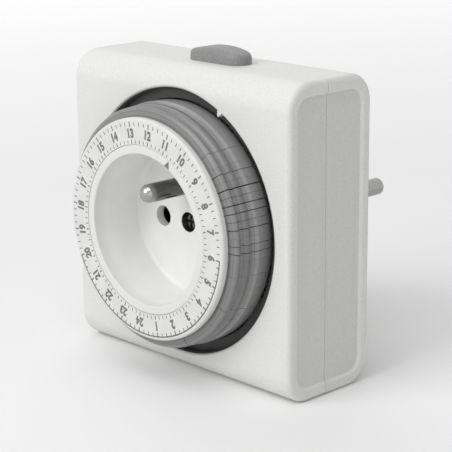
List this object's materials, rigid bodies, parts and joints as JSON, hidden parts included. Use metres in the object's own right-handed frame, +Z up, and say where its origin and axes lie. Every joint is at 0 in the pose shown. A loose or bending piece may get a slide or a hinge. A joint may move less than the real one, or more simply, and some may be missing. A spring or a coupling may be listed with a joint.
{
  "type": "plug-in timer switch",
  "caption": "Square mechanical daily plug-in timer switch: a printed dial with push-in tappets turns round a recessed socket, with an override slide on top and a round plug behind.",
  "frame": {"origin": "middle of the two plug pins, on the end face of the plug", "axes": "+X right and +Z up for someone facing the dial, +Y into the wall, along the plug pins"},
  "size_m": [0.079, 0.0794, 0.0838],
  "materials": {
    "case_white": "fine-grained moulded white plastic, low sheen",
    "dial_white": "smooth moulded white plastic, low sheen",
    "tappet_grey": "moulded grey plastic, low sheen",
    "knob_grey": "moulded grey plastic, low sheen",
    "natural_acetal": "natural acetal, waxy",
    "chassis_grey": "moulded dark plastic",
    "bright_nickel": "nickel-plated brass, polished",
    "spring_brass": "stamped spring brass",
    "zinc_steel": "zinc-plated steel",
    "coil_wrap": "wrapped coil"
  },
  "bodies": {
    "case": {"front_shell": "case_white", "rear_shell": "case_white", "socket_well": "dial_white", "earth_pin": "bright_nickel", "earth_clips": "spring_brass", "earth_strap": "spring_brass", "rear_earth_sleeve": "spring_brass", "plug_pins": "bright_nickel", "neutral_contact": "spring_brass", "live_input_strip": "spring_brass", "live_output_contact": "spring_brass", "chassis_plate": "chassis_grey", "gear_bridge": "chassis_grey", "axle_pins": "zinc_steel", "motor_end_plate": "zinc_steel", "motor_case": "zinc_steel", "motor_coil": "coil_wrap", "lever_pin": "zinc_steel", "centre_screw": "zinc_steel", "case_screws": "zinc_steel", "chassis_screws": "zinc_steel", "motor_screws": "zinc_steel"},
    "dial": {"dial_ring": "dial_white", "dial_gear": "natural_acetal"},
    "dial_pinion": {"dial_pinion": "natural_acetal"},
    "clutch_wheel": {"clutch_wheel": "natural_acetal", "clutch_spring": "zinc_steel"},
    "second_wheel": {"second_wheel": "natural_acetal"},
    "first_wheel": {"first_wheel": "natural_acetal"},
    "motor_output": {"motor_pinion": "spring_brass"},
    "override_knob": {"override_knob": "knob_grey"},
    "switch_lever": {"switch_lever": "natural_acetal"},
    "contact_leaf": {"contact_leaf": "spring_brass"},
    "hour_01": {"tappets_hour_01": "tappet_grey"},
    "hour_02": {"tappets_hour_02": "tappet_grey"},
    "hour_03": {"tappets_hour_03": "tappet_grey"},
    "hour_04": {"tappets_hour_04": "tappet_grey"},
    "hour_05": {"tappets_hour_05": "tappet_grey"},
    "hour_06": {"tappets_hour_06": "tappet_grey"},
    "hour_07": {"tappets_hour_07": "tappet_grey"},
    "hour_08": {"tappets_hour_08": "tappet_grey"},
    "hour_09": {"tappets_hour_09": "tappet_grey"},
    "hour_10": {"tappets_hour_10": "tappet_grey"},
    "hour_11": {"tappets_hour_11": "tappet_grey"},
    "hour_12": {"tappets_hour_12": "tappet_grey"},
    "hour_13": {"tappets_hour_13": "tappet_grey"},
    "hour_14": {"tappets_hour_14": "tappet_grey"},
    "hour_15": {"tappets_hour_15": "tappet_grey"},
    "hour_16": {"tappets_hour_16": "tappet_grey"},
    "hour_17": {"tappets_hour_17": "tappet_grey"},
    "hour_18": {"tappets_hour_18": "tappet_grey"},
    "hour_19": {"tappets_hour_19": "tappet_grey"},
    "hour_20": {"tappets_hour_20": "tappet_grey"},
    "hour_21": {"tappets_hour_21": "tappet_grey"},
    "hour_22": {"tappets_hour_22": "tappet_grey"},
    "hour_23": {"tappets_hour_23": "tappet_grey"},
    "hour_24": {"tappets_hour_24": "tappet_grey"}
  },
  "joints": [
    {"name": "dial_spin", "type": "hinge", "parent": "case", "child": "dial", "pos_m": [0, -0.0491, 0.0008], "axis": [0, -1, 0], "continuous": true},
    {"name": "dial_pinion_spin", "type": "hinge", "parent": "case", "child": "dial_pinion", "pos_m": [0.02227, -0.0411, -0.02147], "axis": [0, -1, 0], "continuous": true},
    {"name": "clutch_wheel_spin", "type": "hinge", "parent": "case", "child": "clutch_wheel", "pos_m": [0.02227, -0.0326, -0.02147], "axis": [0, -1, 0], "continuous": true},
    {"name": "second_wheel_spin", "type": "hinge", "parent": "case", "child": "second_wheel", "pos_m": [0.00844, -0.0341, -0.02547], "axis": [0, -1, 0], "continuous": true},
    {"name": "first_wheel_spin", "type": "hinge", "parent": "case", "child": "first_wheel", "pos_m": [-0.00195, -0.0356, -0.01947], "axis": [0, -1, 0], "continuous": true},
    {"name": "motor_output_spin", "type": "hinge", "parent": "case", "child": "motor_output", "pos_m": [-0.01377, -0.0361, -0.02156], "axis": [0, -1, 0], "continuous": true},
    {"name": "override_slide", "type": "slide", "parent": "case", "child": "override_knob", "axis": [1, 0, 0], "range_m": [-0.005, 0]},
    {"name": "switch_lever_tilt", "type": "hinge", "parent": "case", "child": "switch_lever", "pos_m": [0.0095, -0.0396, 0.0348], "axis": [1, 0, 0], "range_deg": [-17.1, 0]},
    {"name": "contact_leaf_bend", "type": "hinge", "parent": "case", "child": "contact_leaf", "pos_m": [0.025, -0.0334, 0.0346], "axis": [0, 1, 0], "range_deg": [-2.2, 0]},
    {"name": "tappets_01_slide", "type": "slide", "parent": "dial", "child": "hour_01", "axis": [0, 1, 0], "range_m": [0, 0.0025]},
    {"name": "tappets_02_slide", "type": "slide", "parent": "dial", "child": "hour_02", "axis": [0, 1, 0], "range_m": [0, 0.0025]},
    {"name": "tappets_03_slide", "type": "slide", "parent": "dial", "child": "hour_03", "axis": [0, 1, 0], "range_m": [0, 0.0025]},
    {"name": "tappets_04_slide", "type": "slide", "parent": "dial", "child": "hour_04", "axis": [0, 1, 0], "range_m": [0, 0.0025]},
    {"name": "tappets_05_slide", "type": "slide", "parent": "dial", "child": "hour_05", "axis": [0, 1, 0], "range_m": [0, 0.0025]},
    {"name": "tappets_06_slide", "type": "slide", "parent": "dial", "child": "hour_06", "axis": [0, 1, 0], "range_m": [0, 0.0025]},
    {"name": "tappets_07_slide", "type": "slide", "parent": "dial", "child": "hour_07", "axis": [0, 1, 0], "range_m": [0, 0.0025]},
    {"name": "tappets_08_slide", "type": "slide", "parent": "dial", "child": "hour_08", "axis": [0, 1, 0], "range_m": [0, 0.0025]},
    {"name": "tappets_09_slide", "type": "slide", "parent": "dial", "child": "hour_09", "axis": [0, 1, 0], "range_m": [0, 0.0025]},
    {"name": "tappets_10_slide", "type": "slide", "parent": "dial", "child": "hour_10", "axis": [0, 1, 0], "range_m": [0, 0.0025]},
    {"name": "tappets_11_slide", "type": "slide", "parent": "dial", "child": "hour_11", "axis": [0, 1, 0], "range_m": [0, 0.0025]},
    {"name": "tappets_12_slide", "type": "slide", "parent": "dial", "child": "hour_12", "axis": [0, 1, 0], "range_m": [0, 0.0025]},
    {"name": "tappets_13_slide", "type": "slide", "parent": "dial", "child": "hour_13", "axis": [0, 1, 0], "range_m": [0, 0.0025]},
    {"name": "tappets_14_slide", "type": "slide", "parent": "dial", "child": "hour_14", "axis": [0, 1, 0], "range_m": [0, 0.0025]},
    {"name": "tappets_15_slide", "type": "slide", "parent": "dial", "child": "hour_15", "axis": [0, 1, 0], "range_m": [0, 0.0025]},
    {"name": "tappets_16_slide", "type": "slide", "parent": "dial", "child": "hour_16", "axis": [0, 1, 0], "range_m": [0, 0.0025]},
    {"name": "tappets_17_slide", "type": "slide", "parent": "dial", "child": "hour_17", "axis": [0, 1, 0], "range_m": [0, 0.0025]},
    {"name": "tappets_18_slide", "type": "slide", "parent": "dial", "child": "hour_18", "axis": [0, 1, 0], "range_m": [0, 0.0025]},
    {"name": "tappets_19_slide", "type": "slide", "parent": "dial", "child": "hour_19", "axis": [0, 1, 0], "range_m": [0, 0.0025]},
    {"name": "tappets_20_slide", "type": "slide", "parent": "dial", "child": "hour_20", "axis": [0, 1, 0], "range_m": [0, 0.0025]},
    {"name": "tappets_21_slide", "type": "slide", "parent": "dial", "child": "hour_21", "axis": [0, 1, 0], "range_m": [0, 0.0025]},
    {"name": "tappets_22_slide", "type": "slide", "parent": "dial", "child": "hour_22", "axis": [0, 1, 0], "range_m": [0, 0.0025]},
    {"name": "tappets_23_slide", "type": "slide", "parent": "dial", "child": "hour_23", "axis": [0, 1, 0], "range_m": [0, 0.0025]},
    {"name": "tappets_24_slide", "type": "slide", "parent": "dial", "child": "hour_24", "axis": [0, 1, 0], "range_m": [0, 0.0025]}
  ],
  "couplings": [
    {"joint": "dial_pinion_spin", "follows": "dial_spin", "ratio": -6},
    {"joint": "second_wheel_spin", "follows": "clutch_wheel_spin", "ratio": -5},
    {"joint": "first_wheel_spin", "follows": "clutch_wheel_spin", "ratio": 20},
    {"joint": "motor_output_spin", "follows": "clutch_wheel_spin", "ratio": -80},
    {"joint": "switch_lever_tilt", "follows": "override_slide", "rad_per_m": 59.34},
    {"joint": "contact_leaf_bend", "follows": "override_slide", "rad_per_m": 7.33}
  ]
}
